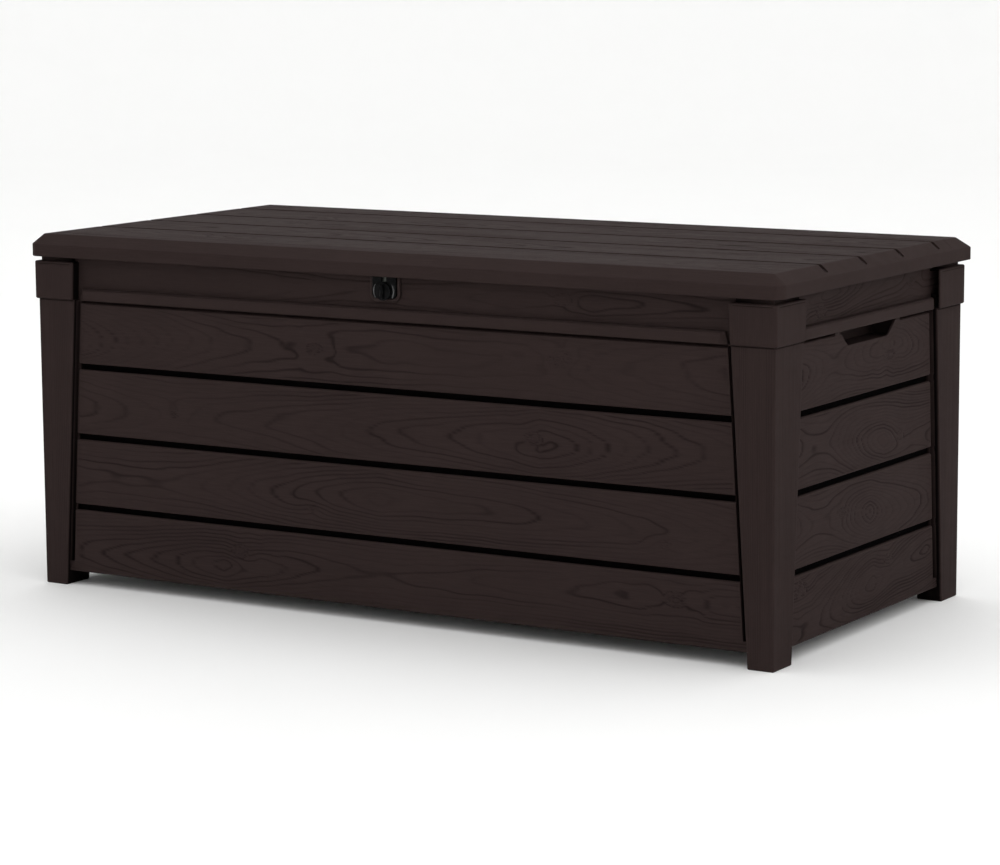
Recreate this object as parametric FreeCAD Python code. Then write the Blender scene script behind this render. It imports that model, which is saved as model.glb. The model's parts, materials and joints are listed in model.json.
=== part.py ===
import FreeCAD, Part
import math
import os
from FreeCAD import Vector

# Deck storage box: four plank walls between tapered corner legs, a planked lid on three hinges
# held by two gas struts, and a quarter-turn latch. Millimetres, +Z up, +X along the length,
# -Y to the front. The origin is on the ground under the middle of the box.

# ---- driving dimensions ----
LENGTH, DEPTH, HEIGHT = 1440.0, 704.0, 608.0
SKIN = 3.0                      # moulded wall thickness

LID_BOTTOM, BEVEL_BOTTOM, BEVEL_INSET = 570.0, 591.0, 21.0
LID_FRONT_RADIUS, LID_BACK_RADIUS = 22.0, 7.0
LID_GROOVES_Y = (-178.0, -39.0, 97.0, 236.0)
LID_GROOVE_WIDTH, LID_GROOVE_DEPTH = 10.0, 5.0
LID_GROOVE_RUN = 0.5            # how far down the bevel the centre of each groove's round end stands
LID_TOP_ROUND, LID_SHOULDER_ROUND = 7.0, 3.0
LINER_BOTTOM, LINER_TOP = 578.0, 580.5

FACE_X, FACE_Y = 698.0, 332.0   # outer faces of the planks
BAND_INSET = 6.0                # the band above the belt lies this far behind the planks
WALL_BOTTOM, WALL_TOP = 24.0, 575.0
PLANK_GROOVES_Z = ((132.5, 143.0), (255.5, 266.0), (377.0, 387.5))
GROOVE_DEPTH, PLANK_CHAMFER = 9.0, 2.0
BELT_BOTTOM, BELT_SHOULDER, BELT_TOP, BELT_PROUD = 497.0, 513.0, 516.0, 7.0
BELT_GAP_LONG, BELT_GAP_SIDE = 14.0, 6.0   # from a belt's end to the leg cap beside it
BELT_GROOVE = 5.0               # height of the groove under the belt
LEG_GAP = 14.0                  # from a plank's end to the leg beside it
LEG_GAP_BOTTOM = 41.0           # each gap beside a leg starts above the floor
LONG_RIBS_X, SIDE_RIBS_Y = (-560.0, -380.0, -190.0, 190.0, 380.0, 560.0), (-190.0, 190.0)
RIB_DEEP, RIB_HALF = 7.0, 1.25  # stiffening ribs inside the walls

LEG_X, LEG_Y = 706.8, 340.2     # outer faces of the legs
LEG_TOP_SIZE, LEG_FOOT_SIZE = (76.0, 94.5), (45.0, 62.0)
LEG_SKIN, FOOT_SOLE = 3.5, 6.0
SPIGOT_TOP, SPIGOT_INSET = 520.0, 4.6
LEG_SCREWS_Z = (90.0, 320.0, 460.0)
LEG_SCREWS_X, LEG_SCREWS_Y = 680.0, 302.0   # along the long walls, and along the side walls
LEG_BOSS_R = 4.5
CAP_X, CAP_Y, CAP_TOP = 711.4, 344.4, 562.0
CAP_TOP_SIZE, CAP_BOTTOM_SIZE = (83.0, 100.0), (80.0, 98.0)
CAP_SKIN, CLEAR = 3.2, 0.8
CAP_RIDGE_INSET, CAP_RIDGE_TOP = 9.0, 576.0   # ridge on each cap that stands up inside the lid's skirt

FLOOR_UNDER, FLOOR_RIB_TOP, FLOOR_TOP = 27.0, 33.0, 36.0
LEDGE_WIDTH = 14.0

HANDLE_TOP_HALF, HANDLE_BOTTOM_HALF, HANDLE_BOTTOM, HANDLE_CORNER_R = 105.0, 73.0, 471.0, 10.0
CUP_HALF, CUP_BACK, CUP_BOTTOM, CUP_TOP, CUP_SKIN = 112.0, 650.0, 466.0, 538.0, 2.5

HINGE_Y, HINGE_Z, HINGE_X = 341.0, 560.0, (-480.0, 0.0, 480.0)
HINGE_NAMES = ("left", "centre", "right")
KNUCKLE_R, HINGE_PIN_R, RUNNING = 7.0, 3.0, 0.05
KNUCKLE_HALF, KNUCKLE_END = 12.0, 38.0
LEAF_HALF, LEAF_THICK = 40.0, 2.5

STRUT_X, STRUT_R = 664.0, 150.0   # plane of each strut; both of its studs are STRUT_R from the hinge
STRUT_WALL_ANGLE = 255.0          # where the wall stud stands round the hinge, in degrees
STUD_R, EYE_R, EYE_HALF, NECK_R = 4.0, 8.0, 4.0, 3.3
TUBE_R, TUBE_BORE, TUBE_START, TUBE_END, TUBE_FLOOR = 9.0, 7.6, 14.0, 146.0, 20.0
ROD_R, PISTON_R, PISTON_START, PISTON_LENGTH, GUIDE = 4.0, 7.5, 24.0, 6.0, 6.0

LATCH_Z, LATCH_TOP, LATCH_BOTTOM, LATCH_HALF, BEZEL_RIM = 545.0, 568.0, 527.0, 29.0, 6.0
LATCH_CORNER, BEZEL_PROUD, HOUSING_PROUD = 14.0, 5.0, 8.0
KNOB_R, KNOB_THICK, GRIP_PROUD, SHAFT_R, POCKET_R = 15.0, 3.5, 6.0, 4.0, 12.5
CATCH_PIN_R, CATCH_PIN_AT = 2.2, 9.0
HASP_HALF, HASP_FRONT, HASP_BACK = 6.0, -330.0, -328.5

SCREW_R, SCREW_HEAD_R, SCREW_HEAD = 2.0, 4.0, 2.0
SIDES = (("left", -1), ("right", 1))
ENDS = (("front", -1), ("back", 1))


# ---- helpers ----
def block(x0, x1, y0, y1, z0, z1):
    lo = Vector(min(x0, x1), min(y0, y1), min(z0, z1))
    return Part.makeBox(abs(x1 - x0), abs(y1 - y0), abs(z1 - z0), lo)


def prism(points, direction):
    return Part.Face(Part.makePolygon(points + [points[0]])).extrude(direction)


def prism_x(yz, x0, x1):
    return prism([Vector(x0, y, z) for y, z in yz], Vector(x1 - x0, 0, 0))


def prism_y(xz, y0, y1):
    return prism([Vector(x, y0, z) for x, z in xz], Vector(0, y1 - y0, 0))


def prism_z(xy, z0, z1):
    return prism([Vector(x, y, z0) for x, y in xy], Vector(0, 0, z1 - z0))


def rod(start, end, radius):
    start, end = Vector(*start), Vector(*end)
    return Part.makeCylinder(radius, start.distanceToPoint(end), start, end - start)


def fuse(shapes):
    first, rest = shapes[0], shapes[1:]
    return first.multiFuse(rest).removeSplitter() if rest else first


def mirror_x(shape):
    return shape.mirror(Vector(0, 0, 0), Vector(1, 0, 0))


def mirror_y(shape):
    return shape.mirror(Vector(0, 0, 0), Vector(0, 1, 0))


def turn(shape, quarter_turns):
    turned = shape.copy()
    turned.rotate(Vector(0, 0, 0), Vector(0, 0, 1), 90 * quarter_turns)
    return turned


def main_solid(shape):
    return max(shape.Solids, key=lambda solid: solid.Volume)


def screw(at, direction, length):
    """A pan-head screw whose head sits on the face at `at`; its shank runs along `direction`."""
    at, direction = Vector(*at), Vector(*direction)
    head = Part.makeCylinder(SCREW_HEAD_R, SCREW_HEAD, at, direction * -1)
    shank = Part.makeCylinder(SCREW_R, length, at, direction)
    recess = Part.makeCylinder(1.3, 1.0, at - direction * SCREW_HEAD, direction)
    return head.fuse(shank).cut(recess).removeSplitter()


PARTS = {}


def add(name, shape):
    PARTS[name] = shape


def drill(names, screws):
    for name in names:
        PARTS[name] = PARTS[name].cut(screws)


# ---- walls ----
def plank_edges():
    """Bottom and top of each plank, from the wall's foot to the belt."""
    lows = [WALL_BOTTOM] + [top for _, top in PLANK_GROOVES_Z]
    highs = [bottom for bottom, _ in PLANK_GROOVES_Z] + [BELT_BOTTOM - BELT_GROOVE]
    return list(zip(lows, highs))


def wall_section(face):
    """Closed outline of a wall, seen along its length: (distance from the middle, height)."""
    outer, inner = [], []
    for low, high in plank_edges():
        if low > WALL_BOTTOM:
            outer.append((face - GROOVE_DEPTH, low))
        outer.append((face - PLANK_CHAMFER, low))
        outer.append((face, low + PLANK_CHAMFER))
        outer.append((face, high - PLANK_CHAMFER))
        outer.append((face - PLANK_CHAMFER, high))
        outer.append((face - GROOVE_DEPTH, high))
    band, ridge = face - BAND_INSET, face - GROOVE_DEPTH - SKIN
    outer += [(face - GROOVE_DEPTH, BELT_BOTTOM), (band, BELT_BOTTOM), (band, WALL_TOP)]
    for bottom, top in PLANK_GROOVES_Z:
        inner.append((face - SKIN, bottom - SKIN))
        inner.append((ridge, bottom - SKIN))
        inner.append((ridge, top + SKIN))
        inner.append((face - SKIN, top + SKIN))
    groove_foot = BELT_BOTTOM - BELT_GROOVE - SKIN
    inner += [(face - SKIN, groove_foot), (ridge, groove_foot), (ridge, BELT_BOTTOM + SKIN)]
    inner += [(band - SKIN, BELT_BOTTOM + SKIN), (band - SKIN, WALL_TOP)]
    ledge = [(face - SKIN - LEDGE_WIDTH, WALL_BOTTOM), (face - SKIN - LEDGE_WIDTH, FLOOR_UNDER)]
    return outer + inner[::-1] + [(face - SKIN, FLOOR_UNDER)] + ledge[::-1]


def belt(face, half):
    """Strip round the box above the top plank, with a bevelled top and ends and a hollow back."""
    band, front = face - BAND_INSET, face + BELT_PROUD
    section = [(band, BELT_BOTTOM), (front - 1, BELT_BOTTOM), (front, BELT_BOTTOM + 1),
               (front, BELT_SHOULDER), (front - 3, BELT_TOP), (band, BELT_TOP)]
    strip = prism_y(section, -half, half)
    plan = [(band - 1, -half), (front - 6, -half), (front, -half + 6),
            (front, half - 6), (front - 6, half), (band - 1, half)]
    strip = strip.common(prism_z(plan, BELT_BOTTOM, BELT_TOP))
    hollow = block(band - 5, front - SKIN, -half + 12, half - 12, BELT_BOTTOM + SKIN, BELT_TOP - SKIN)
    return strip, hollow


def leg_edge(leg_outer, sizes, z):
    """How far from the middle of a wall the leg's inner edge stands at height z."""
    foot, top = sizes
    return leg_outer - (foot + (top - foot) * z / BELT_BOTTOM)


def leg_gap(face, leg_outer, sizes, grow):
    """The gap beside a leg, which leans with the leg; grow makes it larger all round."""
    low, high = LEG_GAP_BOTTOM - grow, BELT_BOTTOM - BELT_GROOVE / 2 + min(grow, 1)
    low_edge, high_edge = leg_edge(leg_outer, sizes, low), leg_edge(leg_outer, sizes, high)
    far = grow + CLEAR
    outline = [(low_edge - LEG_GAP - grow, low), (low_edge + far, low),
               (high_edge + far, high), (high_edge - LEG_GAP - grow, high)]
    x0, x1 = face - GROOVE_DEPTH - grow, face - SKIN / 2 + (SKIN if grow == 0 else 0)
    return prism_x(outline, x0, x1)


def make_wall(face, half, belt_half, rib_places, leg_outer, leg_sizes):
    """A wall that faces +X, standing between y = -half and y = half."""
    body = prism_y(wall_section(face), -half, half)
    strip, hollow = belt(face, belt_half)
    parts = [body, strip]
    for place in rib_places:
        for low, high in plank_edges():
            low, high = max(low + SKIN, FLOOR_TOP + 2), high - SKIN
            near, far = place - RIB_HALF, place + RIB_HALF
            parts.append(block(face - SKIN - RIB_DEEP, face - SKIN, near, far, low, high))
    backing, gap = leg_gap(face, leg_outer, leg_sizes, SKIN), leg_gap(face, leg_outer, leg_sizes, 0)
    parts += [backing, mirror_y(backing)]
    return fuse(parts).cut([hollow, gap, mirror_y(gap)])


def walls():
    front_back_half, side_half = FACE_X, FACE_Y
    belt_x = CAP_X - CAP_BOTTOM_SIZE[0] - BELT_GAP_LONG
    belt_y = CAP_Y - CAP_BOTTOM_SIZE[1] - BELT_GAP_SIDE
    sizes_x, sizes_y = zip(LEG_FOOT_SIZE, LEG_TOP_SIZE)
    long_wall = make_wall(FACE_Y, front_back_half, belt_x, LONG_RIBS_X, LEG_X, sizes_x)
    for s in (-1, 1):
        band_end = s * (FACE_X - BAND_INSET)
        long_wall = long_wall.cut(block(0, DEPTH, band_end, s * LENGTH, BELT_BOTTOM, WALL_TOP + 1))
    front, back = turn(long_wall, -1), turn(long_wall, 1)
    side = make_wall(FACE_X, side_half, belt_y, SIDE_RIBS_Y, LEG_Y, sizes_y)
    half, groove_foot = CUP_HALF + SKIN, BELT_BOTTOM - BELT_GROOVE - SKIN
    inner, band_inner = FACE_X - SKIN, FACE_X - BAND_INSET - SKIN
    solid_half = half + SKIN     # the groove under the belt stops short of the hand opening
    side = side.fuse(block(band_inner, FACE_X, -solid_half, solid_half, groove_foot, BELT_BOTTOM)).removeSplitter()
    deep, cup_top = band_inner - SKIN - 1, BELT_BOTTOM - SKIN
    cup_room = [block(deep, inner, -half, half, groove_foot - 1, cup_top),
                block(deep, band_inner, -half, half, cup_top - 1, BELT_BOTTOM + SKIN + 1)]
    side = side.cut(cup_room + [front, back, handle_cutter()])
    side = main_solid(side)
    add("front_wall", front)
    add("back_wall", back)
    add("right_wall", side)
    add("left_wall", mirror_x(side))


def handle_cutter():
    """The hand opening just under the belt, wider at the top, with rounded lower corners."""
    outline = [(-HANDLE_TOP_HALF, BELT_BOTTOM), (-HANDLE_BOTTOM_HALF, HANDLE_BOTTOM),
               (HANDLE_BOTTOM_HALF, HANDLE_BOTTOM), (HANDLE_TOP_HALF, BELT_BOTTOM)]
    hole = prism_x(outline, FACE_X - 9, FACE_X + 12)
    lower = [e for e in hole.Edges if e.BoundBox.ZLength < 0.1 and e.BoundBox.YLength < 0.1
             and e.BoundBox.ZMax < HANDLE_BOTTOM + 1]
    return hole.makeFillet(HANDLE_CORNER_R, lower)


def handle_cup(sign):
    """Closed tray behind the hand opening, tall enough for fingers to curl up behind the band."""
    face = FACE_X - SKIN
    low = block(CUP_BACK, face, -CUP_HALF, CUP_HALF, CUP_BOTTOM, BELT_BOTTOM - SKIN)
    high = block(CUP_BACK, face - BAND_INSET, -CUP_HALF, CUP_HALF, CUP_BOTTOM, CUP_TOP)
    s = CUP_SKIN
    low_void = block(CUP_BACK + s, face + 1, -CUP_HALF + s, CUP_HALF - s, CUP_BOTTOM + s, BELT_BOTTOM - SKIN)
    high_void = block(CUP_BACK + s, face, -CUP_HALF + s, CUP_HALF - s, CUP_BOTTOM + s, CUP_TOP - s)
    cup = low.fuse(high).cut([low_void, high_void]).removeSplitter()
    back_edges = [e for e in cup.Edges if e.BoundBox.XMax < CUP_BACK + 0.1 and e.BoundBox.YLength > 100]
    cup = cup.makeFillet(1.5, back_edges)
    return cup if sign > 0 else mirror_x(cup)


# ---- legs and caps ----
def corner_rect(outer_x, outer_y, size, inset, z):
    """Closed rectangle with one corner at the outer corner of the box, moved in by inset."""
    x0, y0 = outer_x - size[0] + inset, outer_y - size[1] + inset
    x1, y1 = outer_x - inset, outer_y - inset
    points = [Vector(x0, y0, z), Vector(x1, y0, z), Vector(x1, y1, z), Vector(x0, y1, z)]
    return Part.makePolygon(points + [points[0]])


def tapered(outer_x, outer_y, low_size, high_size, inset, z0, z1):
    low = corner_rect(outer_x, outer_y, low_size, inset, z0)
    high = corner_rect(outer_x, outer_y, high_size, inset, z1)
    return Part.makeLoft([low, high], True, True)


def leg_size(z):
    part = z / BELT_BOTTOM
    return tuple(f + (t - f) * part for f, t in zip(LEG_FOOT_SIZE, LEG_TOP_SIZE))


def round_edges(shape, radius, pick):
    return shape.makeFillet(radius, [e for e in shape.Edges if pick(e)])


def make_leg():
    """Back right leg: a hollow tapered foot below, and an angle that wraps the corner above."""
    outer = tapered(LEG_X, LEG_Y, LEG_FOOT_SIZE, LEG_TOP_SIZE, 0, 0, BELT_BOTTOM)
    outer = round_edges(outer, 2.0, lambda e: e.BoundBox.ZLength > 400)
    outer = outer.makeChamfer(1.5, [e for e in outer.Edges if e.BoundBox.ZMax < 0.1])
    spigot = tapered(LEG_X, LEG_Y, LEG_TOP_SIZE, LEG_TOP_SIZE, SPIGOT_INSET, BELT_BOTTOM, SPIGOT_TOP)
    inner = tapered(LEG_X, LEG_Y, leg_size(FOOT_SOLE), LEG_TOP_SIZE, LEG_SKIN, FOOT_SOLE, BELT_BOTTOM)
    top_inset = LEG_SKIN + SPIGOT_INSET
    spigot_inner = tapered(LEG_X, LEG_Y, LEG_TOP_SIZE, LEG_TOP_SIZE, top_inset, BELT_BOTTOM - 8, SPIGOT_TOP)
    seat = tapered(LEG_X, LEG_Y, LEG_TOP_SIZE, LEG_TOP_SIZE, 1.0, BELT_BOTTOM - 4, BELT_BOTTOM)
    collar = seat.cut(spigot_inner)
    corner = block(0, FACE_X + CLEAR, 0, FACE_Y + CLEAR, WALL_BOTTOM - 1, BELT_BOTTOM)
    band_x, band_y = FACE_X - BAND_INSET + CLEAR, FACE_Y - BAND_INSET + CLEAR
    upper_corner = block(0, band_x, 0, band_y, BELT_BOTTOM, SPIGOT_TOP)
    leg = outer.cut(inner).fuse(collar).fuse(spigot.cut(spigot_inner))
    leg = main_solid(leg.cut([corner, upper_corner]).removeSplitter())
    return leg.fuse(leg_bosses()).removeSplitter()


def leg_bosses():
    """Screw posts between the leg's skin and the walls behind it."""
    bosses = []
    for z in LEG_SCREWS_Z:
        y, x = LEG_SCREWS_Y, LEG_SCREWS_X
        bosses.append(rod((FACE_X, y, z), (LEG_X - LEG_SKIN + 0.5, y, z), LEG_BOSS_R))
        bosses.append(rod((x, FACE_Y, z), (x, LEG_Y - LEG_SKIN + 0.5, z), LEG_BOSS_R))
    return bosses


def leg_screws():
    """Screws driven from inside the walls into the posts of all four legs."""
    screws = []
    for z in LEG_SCREWS_Z:
        screws.append(screw((FACE_X - SKIN, LEG_SCREWS_Y, z), (1, 0, 0), 9.0))
        screws.append(screw((LEG_SCREWS_X, FACE_Y - SKIN, z), (0, 1, 0), 9.0))
    left = [mirror_x(s) for s in screws]
    back = screws + left
    return back + [mirror_y(s) for s in back]


def make_cap():
    """Back right leg cap: an angle-shaped cover over the leg's top and the band's corner.

    Its arm along the side wall is open at the end, and a ridge along its top stands inside the lid's skirt.
    """
    outer = tapered(CAP_X, CAP_Y, CAP_BOTTOM_SIZE, CAP_TOP_SIZE, 0, BELT_BOTTOM, CAP_TOP)
    outer = round_edges(outer, 3.0, lambda e: e.BoundBox.ZLength > 40 or e.BoundBox.ZMin > CAP_TOP - 0.1)
    outer = outer.makeChamfer(2.0, [e for e in outer.Edges if e.BoundBox.ZMax < BELT_BOTTOM + 0.1])
    inner = tapered(CAP_X, CAP_Y, CAP_BOTTOM_SIZE, CAP_TOP_SIZE, CAP_SKIN, BELT_BOTTOM, CAP_TOP - SKIN)
    band_x, band_y = FACE_X - BAND_INSET + CLEAR, FACE_Y - BAND_INSET + CLEAR
    band = block(0, band_x, 0, band_y, 0, CAP_RIDGE_TOP + 1)
    plank = block(0, FACE_X + CLEAR, 0, FACE_Y + CLEAR, 0, BELT_BOTTOM)
    arm_end, mouth_top = CAP_Y - CAP_BOTTOM_SIZE[1], CAP_TOP - SKIN
    mouth = block(FACE_X - BAND_INSET, CAP_X - CAP_SKIN, arm_end - 3, arm_end + 8, BELT_BOTTOM + SKIN, mouth_top)
    shell = main_solid(outer.cut([inner, band, plank, mouth]).removeSplitter())
    far_x, far_y = CAP_X - CAP_RIDGE_INSET, CAP_Y - CAP_RIDGE_INSET
    near_x, near_y = CAP_X - CAP_TOP_SIZE[0] + CAP_RIDGE_INSET, CAP_Y - CAP_TOP_SIZE[1] + CAP_RIDGE_INSET
    ridge = block(near_x, far_x, near_y, far_y, CAP_TOP - 1, CAP_RIDGE_TOP)
    ridge = ridge.makeFillet(2.0, [e for e in ridge.Edges if e.BoundBox.ZMin > CAP_RIDGE_TOP - 0.1])
    return main_solid(shell.fuse(ridge.cut(band)).removeSplitter())


def legs_and_caps():
    leg, cap = make_leg(), make_cap()
    for side, sx in SIDES:
        for end, sy in ENDS:
            for name, shape in (("leg", leg), ("leg_cap", cap)):
                placed = shape if sx > 0 else mirror_x(shape)
                placed = placed if sy > 0 else mirror_y(placed)
                add(f"{name}_{end}_{side}", placed)
    screws = leg_screws()
    for side, _ in SIDES:
        drill([f"leg_front_{side}", f"leg_back_{side}", f"{side}_wall"], screws)
    drill(["front_wall", "back_wall"], screws)
    add("leg_screws", Part.makeCompound(screws))


# ---- floor ----
def floors():
    """Two ribbed floor panels that rest on the walls' ledges and meet in the middle."""
    half_y = FACE_Y - SKIN - 1.0
    plate = block(0.5, FACE_X - SKIN - 1.0, -half_y, half_y, FLOOR_RIB_TOP, FLOOR_TOP)
    ribs = []
    for x in (1.75, 116.0, 231.0, 346.0, 461.0, 576.0, 692.0):
        ribs.append(block(x - 1.25, x + 1.25, -half_y, half_y, FLOOR_UNDER, FLOOR_RIB_TOP))
    for y in (-320.0, -160.0, 0.0, 160.0, 320.0):
        ribs.append(block(0.5, FACE_X - SKIN - 1.0, y - 1.25, y + 1.25, FLOOR_UNDER, FLOOR_RIB_TOP))
    right = fuse([plate] + ribs)
    add("floor_right", right)
    add("floor_left", mirror_x(right))


# ---- lid ----
def rounded_rect(half_x, half_y, front_radius, back_radius, z):
    """Closed outline with its own corner radii at the front and the back."""
    edges = []
    corners = [(-1, -1, front_radius), (1, -1, front_radius), (1, 1, back_radius), (-1, 1, back_radius)]
    ends = []
    for sx, sy, radius in corners:
        cx, cy = sx * (half_x - radius), sy * (half_y - radius)
        along_y = Vector(sx * half_x, cy, z)
        along_x = Vector(cx, sy * half_y, z)
        k = math.sqrt(0.5)
        middle = Vector(cx + sx * radius * k, cy + sy * radius * k, z)
        first, last = (along_y, along_x) if sx * sy > 0 else (along_x, along_y)
        ends.append((first, middle, last))
    for i, (first, middle, last) in enumerate(ends):
        edges.append(Part.Arc(first, middle, last).toShape())
        edges.append(Part.LineSegment(last, ends[(i + 1) % 4][0]).toShape())
    return Part.Wire(edges)


def corner_arc(corner, before, after, radius, steps):
    """Points of an arc that rounds the corner between two directions, in a plane."""
    turn_angle = math.acos(before[0] * after[0] + before[1] * after[1])
    reach = radius * math.tan(turn_angle / 2)
    start = (corner[0] - before[0] * reach, corner[1] - before[1] * reach)
    points = []
    for i in range(steps + 1):
        angle = turn_angle * i / steps
        ahead, aside = radius * math.sin(angle), radius * (1 - math.cos(angle))
        points.append((start[0] + before[0] * ahead + before[1] * aside, start[1] + before[1] * ahead
                       - before[0] * aside))
    return points


def lid_form(inset):
    """The lid's outer form, moved in by inset on every side and at the top."""
    half_x, half_y = LENGTH / 2 - inset, DEPTH / 2 - inset
    front, back = LID_FRONT_RADIUS - inset, LID_BACK_RADIUS - inset
    slope = math.atan2(HEIGHT - BEVEL_BOTTOM, BEVEL_INSET)
    shoulder = BEVEL_BOTTOM - inset * math.tan((math.pi / 2 - slope) / 2)
    top = HEIGHT - inset
    run = BEVEL_INSET * (top - shoulder) / (HEIGHT - BEVEL_BOTTOM)
    bevel = (math.cos(slope), math.sin(slope))
    profile = corner_arc((0, shoulder), (0, 1), bevel, max(LID_SHOULDER_ROUND - inset, 0.2), 2)
    profile += corner_arc((run, top), bevel, (1, 0), LID_TOP_ROUND - inset, 4)
    wires = [rounded_rect(half_x, half_y, front, back, LID_BOTTOM)]
    for inward, z in profile:
        part = min(inward / run, 1)
        corner_radii = (front + (1.2 - front) * part, back + (1.0 - back) * part)
        wires.append(rounded_rect(half_x - inward, half_y - inward, *corner_radii, z))
    return Part.makeLoft(wires, True, True)


def lid_groove(y):
    """A groove along one plank joint that runs part of the way down each end's bevel, to a round end."""
    top_x, end_x = LENGTH / 2 - BEVEL_INSET, LENGTH / 2 - BEVEL_INSET * (1 - LID_GROOVE_RUN)
    end_z = HEIGHT - LID_GROOVE_RUN * (HEIGHT - BEVEL_BOTTOM)
    slope = math.atan2(HEIGHT - BEVEL_BOTTOM, BEVEL_INSET)
    d = LID_GROOVE_DEPTH
    nx, nz = math.sin(slope), math.cos(slope)
    floor_z, floor_x = HEIGHT - d, top_x - d * math.tan(slope / 2)
    right = [(floor_x, floor_z), (end_x - d * nx, end_z - d * nz), (end_x + 6 * nx, end_z + 6 * nz),
             (top_x, HEIGHT + 8)]
    outline = right + [(-x, z) for x, z in reversed(right)]
    groove = prism_y(outline, y - LID_GROOVE_WIDTH / 2, y + LID_GROOVE_WIDTH / 2)
    ends = []
    for s in (-1, 1):
        inner = (s * (end_x - d * nx), y, end_z - d * nz)
        ends.append(rod(inner, (s * (end_x + 6 * nx), y, end_z + 6 * nz), LID_GROOVE_WIDTH / 2))
    return groove.multiFuse(ends)


def lids():
    shell = lid_form(0.0).cut(lid_form(SKIN))
    lip = [e for e in shell.Edges if e.BoundBox.ZMax < LID_BOTTOM + 0.1 and e.BoundBox.XLength < LENGTH]
    outer_lip = [e for e in lip if max(abs(e.BoundBox.XMax), abs(e.BoundBox.XMin)) > LENGTH / 2 - 0.1
                 or max(abs(e.BoundBox.YMax), abs(e.BoundBox.YMin)) > DEPTH / 2 - 0.1]
    shell = shell.makeFillet(1.4, outer_lip)
    ridges, grooves = [], []
    for y in LID_GROOVES_Y:
        half, under = LID_GROOVE_WIDTH / 2 + SKIN, HEIGHT - LID_GROOVE_DEPTH - SKIN
        ridges.append(block(-708.0, 708.0, y - half, y + half, under, HEIGHT - SKIN))
        for s in (-1, 1):
            ridges.append(block(s * 708.0, s * 714.0, y - half, y + half, 590.0, 597.0))
        grooves.append(lid_groove(y))
    grooves += [block(s * 698.0, s * 722.0, 280.0, 280.8, 594.0, 609.0).cut(
        prism_y([(s * 697.0, 607.2), (s * 699.0, 607.2), (s * 719.2, 590.0), (s * 697.0, 590.0)], 279, 282))
        for s in (-1, 1)]
    grooves.append(block(-359.0, -285.0, 291.0, 315.0, HEIGHT - 0.7, HEIGHT + 1))
    form = lid_form(0.4)
    ridges = [r.common(form) for r in ridges]
    shell = main_solid(shell.multiFuse(ridges).cut(grooves).removeSplitter())
    add("lid_shell", shell)

    liner = block(-714.0, 714.0, -345.5, 345.5, LINER_BOTTOM, LINER_TOP)
    liner = round_edges(liner, 18.0, lambda e: e.BoundBox.ZLength > 1)
    ribs = []
    for x in (-600.0, -360.0, -120.0, 120.0, 360.0, 600.0):
        for y0, y1 in ((-325.0, -264.0), (-236.0, 236.0), (264.0, 325.0)):
            ribs.append(block(x - 1.0, x + 1.0, y0, y1, LINER_TOP, 600.0))
    add("lid_liner", fuse([liner] + ribs))

    channel = block(-650.0, 650.0, -12.0, 12.0, LINER_TOP, 599.0)
    channel = channel.cut(block(-650.0, 650.0, -10.8, 10.8, LINER_TOP + 1.2, 599.0))
    for end, sy in ENDS:
        placed = channel.copy()
        placed.translate(Vector(0, sy * 250.0, 0))
        add(f"lid_stiffener_{end}", placed)

    rim_y, rim_x = FACE_Y - BAND_INSET - SKIN / 2, FACE_X - BAND_INSET - SKIN / 2
    places = [(sx * 500.0, -rim_y) for _, sx in SIDES] + [(sx * rim_x, -120.0) for _, sx in SIDES]
    bumpers = [rod((x, y, WALL_TOP + 0.2), (x, y, LINER_BOTTOM), 6.0) for x, y in places]
    add("lid_bumpers", Part.makeCompound(bumpers))


# ---- hinges ----
def hinge_lower(x):
    """Cranked leaf on the back band, with a knuckle at each side of the lid's knuckle."""
    band = FACE_Y - BAND_INSET
    leaf = block(x - LEAF_HALF, x + LEAF_HALF, band, band + LEAF_THICK, BELT_TOP + 4, HINGE_Z - 1)
    parts = [leaf]
    for s in (-1, 1):
        near, far = x + s * (KNUCKLE_HALF + 0.5), x + s * KNUCKLE_END
        parts.append(block(near, far, band, HINGE_Y, HINGE_Z - KNUCKLE_R, HINGE_Z - 1))
        parts.append(rod((near, HINGE_Y, HINGE_Z), (far, HINGE_Y, HINGE_Z), KNUCKLE_R))
    bore = rod((x - 50, HINGE_Y, HINGE_Z), (x + 50, HINGE_Y, HINGE_Z), HINGE_PIN_R)
    return fuse(parts).cut(bore)


def hinge_upper(x):
    """Leaf on the inside of the lid's rear skirt, with the middle knuckle at its foot."""
    inner = DEPTH / 2 - SKIN
    leaf = block(x - LEAF_HALF, x + LEAF_HALF, inner - SKIN, inner, HINGE_Z + 12, 589.0)
    strip = block(x - KNUCKLE_HALF, x + KNUCKLE_HALF, inner - SKIN, inner, HINGE_Z, HINGE_Z + 13)
    knuckle = rod((x - KNUCKLE_HALF, HINGE_Y, HINGE_Z), (x + KNUCKLE_HALF, HINGE_Y, HINGE_Z), KNUCKLE_R)
    bore = rod((x - 50, HINGE_Y, HINGE_Z), (x + 50, HINGE_Y, HINGE_Z), HINGE_PIN_R + RUNNING)
    return fuse([leaf, strip, knuckle]).cut(bore)


def hinge_pin(x):
    end = KNUCKLE_END
    shaft = rod((x - end, HINGE_Y, HINGE_Z), (x + end, HINGE_Y, HINGE_Z), HINGE_PIN_R)
    heads = []
    for s in (-1, 1):
        heads.append(rod((x + s * end, HINGE_Y, HINGE_Z), (x + s * (end + 2), HINGE_Y, HINGE_Z), 4.5))
    return fuse([shaft] + heads)


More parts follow.
